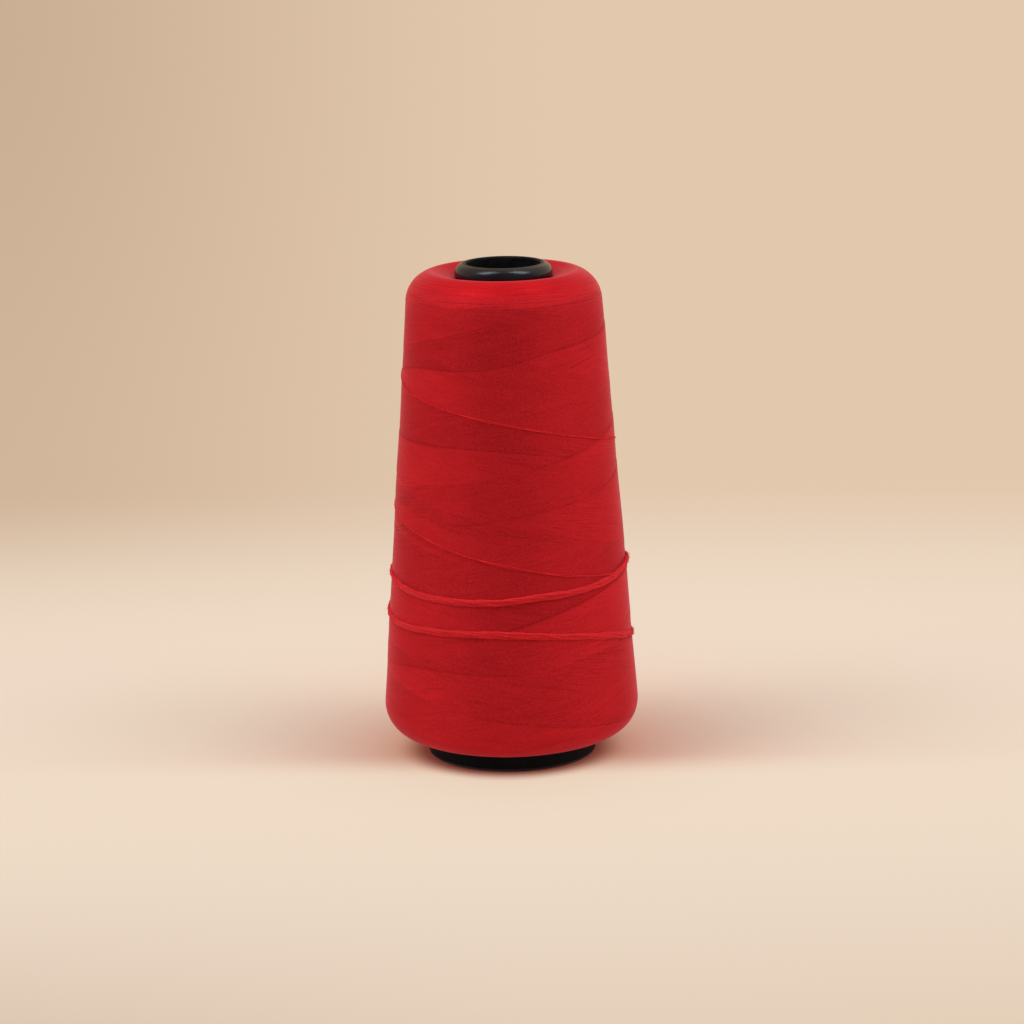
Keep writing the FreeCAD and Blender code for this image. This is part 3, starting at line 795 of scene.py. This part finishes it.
class THREAD_PG_colours(bpy.types.PropertyGroup):
    """Colours of the thread, the plastic and the stage."""

    # Painted shade and light: the deep colour stands for the thread in shade between its courses, the bright
    # one for the lit backs of the courses; the winding's random tone is mixed between the two as well.
    thread_deep: bpy.props.FloatVectorProperty(
        name="Thread, deep", description="The thread between its courses",
        default=(0.303, 0.0057, 0.0090), size=3, subtype="COLOR")
    thread_bright: bpy.props.FloatVectorProperty(
        name="Thread, bright", description="The thread on the backs of its courses",
        default=(0.595, 0.0143, 0.0205), size=3, subtype="COLOR")
    thread_light: bpy.props.FloatVectorProperty(
        name="Thread, loose", description="Loose thread with its hairs standing",
        default=(0.64, 0.0165, 0.022), size=3, subtype="COLOR")
    thread_fuzz: bpy.props.FloatVectorProperty(
        name="Thread, fuzz", description="Short fibres that stand on the winding",
        default=(0.62, 0.04, 0.05), size=3, subtype="COLOR")
    # Painted shade: the crest's colour is multiplied by this to take back the pale sheen it catches.
    thread_crest_shade: bpy.props.FloatVectorProperty(
        name="Thread, shoulder tint", description="What the shoulder's colour is multiplied by",
        default=(0.95, 0.35, 0.45), size=3, subtype="COLOR")
    plastic: bpy.props.FloatVectorProperty(
        name="Plastic", description="Moulded plastic of the cone",
        default=(0.0035, 0.0035, 0.004), size=3, subtype="COLOR")
    # Dust on the plastic; also the colour of the pale line painted along the foot's bottom edge as a
    # reflection of the floor.
    dust_and_painted_edge_light: bpy.props.FloatVectorProperty(
        name="Dust", description="Lint and dust on the plastic",
        default=(0.05, 0.05, 0.055), size=3, subtype="COLOR")
    floor: bpy.props.FloatVectorProperty(
        name="Floor", description="Floor near the thread",
        default=(0.69, 0.585, 0.482), size=3, subtype="COLOR")
    # Painted shade: the floor towards the viewer is given darker, as the light falls off.
    floor_front: bpy.props.FloatVectorProperty(
        name="Floor, front", description="Floor towards the viewer",
        default=(0.615, 0.528, 0.448), size=3, subtype="COLOR")
    floor_blush: bpy.props.FloatVectorProperty(
        name="Floor, blush", description="Floor close to the thread, in its red light",
        default=(0.62, 0.17, 0.115), size=3, subtype="COLOR")
    floor_lit: bpy.props.FloatVectorProperty(
        name="Floor, lit", description="Look of the open floor near the thread",
        default=(0.864, 0.711, 0.569), size=3, subtype="COLOR")
    # Painted shade: the open floor's glow towards the viewer is given darker, as the light falls off.
    floor_lit_front: bpy.props.FloatVectorProperty(
        name="Floor, lit, front", description="Look of the open floor towards the viewer",
        default=(0.720, 0.630, 0.548), size=3, subtype="COLOR")
    floor_red_light: bpy.props.FloatVectorProperty(
        name="Floor, red light", description="What the open floor's look is multiplied by near the foot",
        default=(0.85, 0.55, 0.42), size=3, subtype="COLOR")
    backdrop: bpy.props.FloatVectorProperty(
        name="Backdrop", description="Floor and air far behind the thread",
        default=(0.762, 0.578, 0.418), size=3, subtype="COLOR")
    # Painted shade: the backdrop darkens towards one side.
    backdrop_dark: bpy.props.FloatVectorProperty(
        name="Backdrop, dark side", description="Backdrop towards its darker side",
        default=(0.585, 0.42, 0.288), size=3, subtype="COLOR")
    backdrop_low: bpy.props.FloatVectorProperty(
        name="Backdrop, dark side, low", description="Backdrop low on its darker side",
        default=(0.635, 0.46, 0.32), size=3, subtype="COLOR")


class THREAD_PG_stage(bpy.types.PropertyGroup):
    """Light and camera."""

    side_light: bpy.props.FloatProperty(
        name="Side lights", description="Power of each of the two side lights",
        default=6.2, subtype="POWER")
    air_sides: bpy.props.FloatProperty(
        name="Air light, sides", description="Strength of the soft light from both sides", default=4.2)
    air_top: bpy.props.FloatProperty(
        name="Air light, above", description="Strength of the soft light from above", default=0.6)
    camera_distance: bpy.props.FloatProperty(
        name="Camera distance", description="Distance from the camera to the middle of the cone",
        default=1.16178, unit="LENGTH")
    camera_elevation: bpy.props.FloatProperty(
        name="Camera elevation", description="Angle by which the camera looks down",
        default=math.radians(13.2), subtype="ANGLE")
    camera_roll: bpy.props.FloatProperty(
        name="Camera roll", description="Turn of the camera about its line of sight",
        default=math.radians(-1.08), subtype="ANGLE")
    lens: bpy.props.FloatProperty(
        name="Lens", description="Focal length in millimetres on a 36 mm sensor", default=119.61)


class THREAD_OT_cone(bpy.types.Operator):
    """Give the plastic cone its moulded finish"""

    bl_idname = "thread.finish_cone"
    bl_label = "Plastic cone"

    def execute(self, context):
        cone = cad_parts["plastic_cone"]
        cone.data.materials.clear()
        cone.data.materials.append(plastic_material(context.scene.thread_colours))
        return {"FINISHED"}


class THREAD_OT_package(bpy.types.Operator):
    """Build the wound package with its shoulders, its bands and their edges"""

    bl_idname = "thread.add_package"
    bl_label = "Wound package"
    columns = 360

    def execute(self, context):
        sizes = context.scene.thread_sizes
        r, z, run = package_outline(sizes)
        angles = np.linspace(-180, 180, self.columns + 1)
        turns = np.radians(angles)
        half_width = sizes.gathered / MM * 0.5
        families = {
            "climb_edge": edge_lines([CLIMB_1, CLIMB_2], angles),
            "drop_edge": edge_lines([DROP_1, DROP_2_PROUD, DROP_2_LOW, *DROP_EDGES], angles),
            "level_edge": edge_lines(LEVEL_EDGES, angles),
            "tail_edge": edge_lines([[(s[0], s[1] - half_width, 1) for s in GATHERED]], angles),
        }
        slope_r = np.gradient(np.append(r, r[0]))[:-1]
        slope_z = np.gradient(np.append(z, z[0]))[:-1]
        scale = np.hypot(slope_r, slope_z)
        out_r, out_z = slope_z / scale, -slope_r / scale
        # The relief fades in from the bottom's inner edge and out before the top of the shoulder.
        outside = np.clip((run - 4) / 8, 0, 1) * np.clip((run[z.argmax()] - run) / 6, 0, 1)
        depth = self.relief([families[name] for name in EDGE_LAYERS], z, turns) * outside[:, None]
        radius = r[:, None] + depth * out_r[:, None]
        height = z[:, None] + depth * out_z[:, None]
        grid = np.stack([radius * np.cos(turns), radius * np.sin(turns), height], axis=2)[:, :-1] * MM
        mesh = grid_mesh("wound_package", grid)
        add_layer(mesh, "run", "FLOAT", "POINT", np.repeat(run, self.columns))
        add_layer(mesh, "spread", "FLOAT", "POINT", self.open_places(z, angles[:-1]))
        for name, (heights, strengths) in families.items():
            add_layer(mesh, name, "FLOAT_VECTOR", "CORNER", self.corner_values(z, heights, strengths))
        package = link_object("wound_package", mesh)
        package.data.materials.append(package_material(context.scene.thread_colours))
        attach(package, "root")
        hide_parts("thread_package")
        return {"FINISHED"}

    @staticmethod
    def relief(families, z, turns):
        """Height of the surface over its smooth shape, in mm: steps at the edges, and long waves."""
        step, sharpness, reach, swell = 0.16, 0.5, 5, 0.05
        total = np.zeros((len(z), len(turns)))
        for heights, strengths in families:
            for level, strength in zip(heights, strengths):
                away = z[:, None] - np.nan_to_num(level, nan=-NO_EDGE)
                total += step * (strength * np.tanh(away / sharpness) * np.exp(-np.abs(away) / reach))
        turn, high = turns[None, :], z[:, None]
        waves = np.sin(3 * turn + high / 9) + np.sin(2 * turn - high / 14 + 1)
        waves = waves + 0.7 * np.sin(5 * turn + high / 6 + 2) + 0.8 * np.sin(turn - high / 5)
        return total + swell * waves

    @staticmethod
    def open_places(z, angles):
        """How far apart the courses lie at every point, from -1 to 1."""
        total = np.zeros((len(z), len(angles)))
        for middle, level, reach, rise, amount in OPEN_PLACES:
            turn = (angles[None, :] - middle + 180) % 360 - 180
            total += amount * np.exp(-(turn / reach) ** 2 - ((z[:, None] - level - turn * 0.1) / rise) ** 2)
        return np.clip(total, -1, 1)

    @staticmethod
    def corner_values(z, heights, strengths):
        """Distance to the nearest edge, and its strength, at the four corners of every face."""
        above = np.append(z, z[0])
        middle_z = (above[:-1] + above[1:])[:, None] / 2
        middle_h = (heights[:, :-1] + heights[:, 1:]) / 2
        gap = np.abs(middle_z[None] - middle_h[:, None, :])
        gap = np.where(np.isnan(gap), NO_EDGE, gap)
        pick = gap.argmin(axis=0)
        missing = gap.min(axis=0) == NO_EDGE
        column = np.arange(heights.shape[1] - 1)[None, :]
        corners = []
        for row_step, column_step in ((0, 0), (0, 1), (1, 1), (1, 0)):
            level = above[row_step:len(z) + row_step][:, None]
            away = level - np.nan_to_num(heights)[pick, column + column_step]
            strength = strengths[pick, column + column_step]
            away, strength = np.where(missing, NO_EDGE, away), np.where(missing, 0.0, strength)
            corners.append(np.stack([away, strength, np.zeros_like(away)], axis=2))
        return np.stack(corners, axis=2)


class THREAD_OT_courses(bpy.types.Operator):
    """Lay the outermost courses of the winding, with the doubled one that stands proud"""

    bl_idname = "thread.add_courses"
    bl_label = "Outermost courses"

    def execute(self, context):
        sizes, colours = context.scene.thread_sizes, context.scene.thread_colours
        thread = sizes.thread / MM
        # Each course lies there twice, the second time 1.1 mm beside the first and swaying a little.
        paths = []
        for number, shift in enumerate((0.0, -1.1)):
            for route, sign in ((CLIMB_1, 1), (DROP_1, -1), (CLIMB_2, 1), (DROP_2_LOW, -1)):
                rise = thread * (0.2 if route is DROP_1 else 0.32)
                paths.append(laid_path(route, sizes, thread * -0.8, step=2.0, shift=shift * sign,
                                       sway=0.12 * number, phase=1.3 * number, rise=rise))
        tree = strand_tree()
        low = run_nodes(curve_object("outer_courses", paths), tree, {
            "Yarns": 1, "Yarn Diameter": sizes.thread, "Bundle Radius": 0.0, "Lay": 0.006, "Wander": 0.00008,
            "Flatten": 1.0, "Hairs Per Area": 60000.0, "Hair Length": 0.0011, "Sides": 5, "Seed": 3,
            "Material": strand_material("laid_thread", colours, -0.1, 0.8),
        })
        path = laid_path(DROP_2_PROUD[1:], sizes, sizes.proud_thread / MM * 0.5, tuck=0.7)
        proud = run_nodes(curve_object("proud_course", [path]), tree, {
            "Yarns": 2, "Yarn Diameter": sizes.proud_thread, "Bundle Radius": sizes.proud_thread * 0.8,
            "Lay": 0.045, "Wander": 0.00008, "Flatten": 0.3, "Hairs Per Area": 300000.0,
            "Hair Length": 0.0009, "Sides": 7, "Seed": 5,
            "Material": strand_material("proud_thread", colours, 0.31, 0.2),
        })
        for piece in (low, proud):
            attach(piece, "root")
        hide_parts("outer_winding")
        return {"FINISHED"}


class THREAD_OT_gathered(bpy.types.Operator):
    """Twist the gathered end of the thread and lay it round the package"""

    bl_idname = "thread.add_gathered"
    bl_label = "Gathered end"

    def execute(self, context):
        sizes, colours = context.scene.thread_sizes, context.scene.thread_colours
        yarn = sizes.gathered * 0.4
        path = laid_path(GATHERED, sizes, 0.0, rise=0.55, tuck=1.8)
        tail = run_nodes(curve_object("gathered_end", [path]), bpy.data.node_groups["strand"], {
            "Yarns": sizes.gathered_yarns, "Yarn Diameter": yarn,
            "Bundle Radius": sizes.gathered / 2 - yarn / 2, "Lay": 0.05, "Wander": 0.0007, "Flatten": 0.3,
            "Hairs Per Area": 640000.0, "Hair Length": 0.001, "Sides": 7, "Seed": 11,
            "Material": strand_material("gathered_thread", colours, 0.18, 0.1, 0.3),
        })
        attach(tail, "root")
        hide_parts("thread_tail")
        return {"FINISHED"}


class THREAD_OT_stage(bpy.types.Operator):
    """Set up the floor, the lights and the camera"""

    bl_idname = "thread.add_stage"
    bl_label = "Stage"

    def execute(self, context):
        settings, colours = context.scene.thread_stage, context.scene.thread_colours
        self.add_floor(colours)
        self.add_air(context.scene, settings, colours)
        for side in (-1, 1):
            self.add_light("side_light", settings.side_light, azimuth=side * 67, elevation=62, distance=1.5,
                           width=0.4, height=0.9)
        self.add_camera(context.scene, settings)
        return {"FINISHED"}

    @staticmethod
    def add_floor(colours):
        count = 96
        turns = np.linspace(0, 2 * math.pi, count, endpoint=False)
        rings = [0.25, 0.7, 3.0, 30.0]
        points = [(0, 0, 0)] + [(r * math.cos(t), r * math.sin(t), 0) for r in rings for t in turns]
        faces = [(0, 1 + n, 1 + (n + 1) % count) for n in range(count)]
        for ring in range(len(rings) - 1):
            a = 1 + ring * count
            faces += [(a + n, a + count + n, a + count + (n + 1) % count, a + (n + 1) % count)
                      for n in range(count)]
        mesh = bpy.data.meshes.new("floor")
        mesh.from_pydata(points, [], faces)
        mesh.materials.append(floor_material(colours))
        link_object("floor", mesh)

    @staticmethod
    def add_air(scene, settings, colours):
        """The backdrop as it shows, and the soft light from the sides and from above."""
        world = bpy.data.worlds.new("air")
        world.use_nodes = True
        world.node_tree.nodes.clear()
        g = Graph(world.node_tree)
        ahead = g.add("ShaderNodeTexCoord", None, None, "Generated")
        aside, back, up = g.split(ahead)
        sides = aside ** 2 * aside ** 2 * (1 - back * 1.2) * up.fade(-0.2, 0.4)
        strength = sides * settings.air_sides + up.fade(0.3, 0.9) * settings.air_top
        light = g.add("ShaderNodeBackground", None, {"Color": (1.0, 0.98, 0.96, 1), "Strength": strength})
        colour = backdrop_colour(g, ahead, colours)
        brightness = back.fade(-0.5, 0.1) * 0.7 + 0.3
        shown = g.add("ShaderNodeBackground", None, {"Color": colour, "Strength": brightness})
        g.finish(g.mixed(seen_share(g), light, shown), "ShaderNodeOutputWorld")
        scene.world = world

    @staticmethod
    def add_light(name, power, azimuth, elevation, distance, width, height):
        """A soft lamp that looks at the cone from an azimuth and an elevation in degrees."""
        data = bpy.data.lights.new(name, "AREA")
        data.shape, data.size, data.size_y, data.energy = "RECTANGLE", width, height, power
        data.color = (1.0, 0.97, 0.94)
        lamp = link_object(name, data)
        aim = Vector((0, 0, 0.08))
        a, e = math.radians(azimuth), math.radians(elevation)
        back = Vector((math.sin(a) * math.cos(e), -math.cos(a) * math.cos(e), math.sin(e)))
        lamp.location = aim + back * distance
        lamp.rotation_euler = (-back).to_track_quat("-Z", "Y").to_euler()

    @staticmethod
    def add_camera(scene, settings):
        middle, aim = Vector((0, 0, NOSE_TOP / 2)), Vector((0.00135, 0, 0.08375))
        data = bpy.data.cameras.new("camera")
        data.lens, data.sensor_width = settings.lens, 36
        data.clip_start, data.clip_end = 0.05, 100
        camera = link_object("camera", data)
        e, roll = settings.camera_elevation, settings.camera_roll
        eye = Vector((0, -math.cos(e), math.sin(e))) * settings.camera_distance + middle
        forward = (aim - eye).normalized()
        level = forward.cross(Vector((0, 0, 1))).normalized()
        up = level.cross(forward)
        right = level * math.cos(roll) + up * math.sin(roll)
        top = up * math.cos(roll) - level * math.sin(roll)
        turn = Matrix((right, top, -forward)).transposed().to_4x4()
        camera.matrix_world = Matrix.Translation(eye) @ turn
        scene.camera = camera


class THREAD_PT_panel(bpy.types.Panel):
    """Thread cone in the sidebar"""

    bl_label = "Thread cone"
    bl_idname = "THREAD_PT_panel"
    bl_space_type = "VIEW_3D"
    bl_region_type = "UI"
    bl_category = "Thread"

    def draw(self, context):
        for group in (context.scene.thread_sizes, context.scene.thread_colours, context.scene.thread_stage):
            box = self.layout.box()
            for name in group.__annotations__:
                box.prop(group, name)
        for step in STEPS:
            self.layout.operator(step.bl_idname)


STEPS = (THREAD_OT_cone, THREAD_OT_package, THREAD_OT_courses, THREAD_OT_gathered, THREAD_OT_stage)
GROUPS = {
    "thread_sizes": THREAD_PG_sizes,
    "thread_colours": THREAD_PG_colours,
    "thread_stage": THREAD_PG_stage,
}


def register():
    for group in GROUPS.values():
        bpy.utils.register_class(group)
    for kind in (*STEPS, THREAD_PT_panel):
        bpy.utils.register_class(kind)
    for name, group in GROUPS.items():
        setattr(bpy.types.Scene, name, bpy.props.PointerProperty(type=group))


def unregister():
    for name in GROUPS:
        delattr(bpy.types.Scene, name)
    for kind in (THREAD_PT_panel, *reversed(STEPS)):
        bpy.utils.unregister_class(kind)
    for group in GROUPS.values():
        bpy.utils.unregister_class(group)


def main():
    register()
    bpy.context.scene.view_settings.view_transform = "Standard"
    bpy.ops.thread.finish_cone()
    bpy.ops.thread.add_package()
    bpy.ops.thread.add_courses()
    bpy.ops.thread.add_gathered()
    bpy.ops.thread.add_stage()


if __name__ == "__main__":
    main()
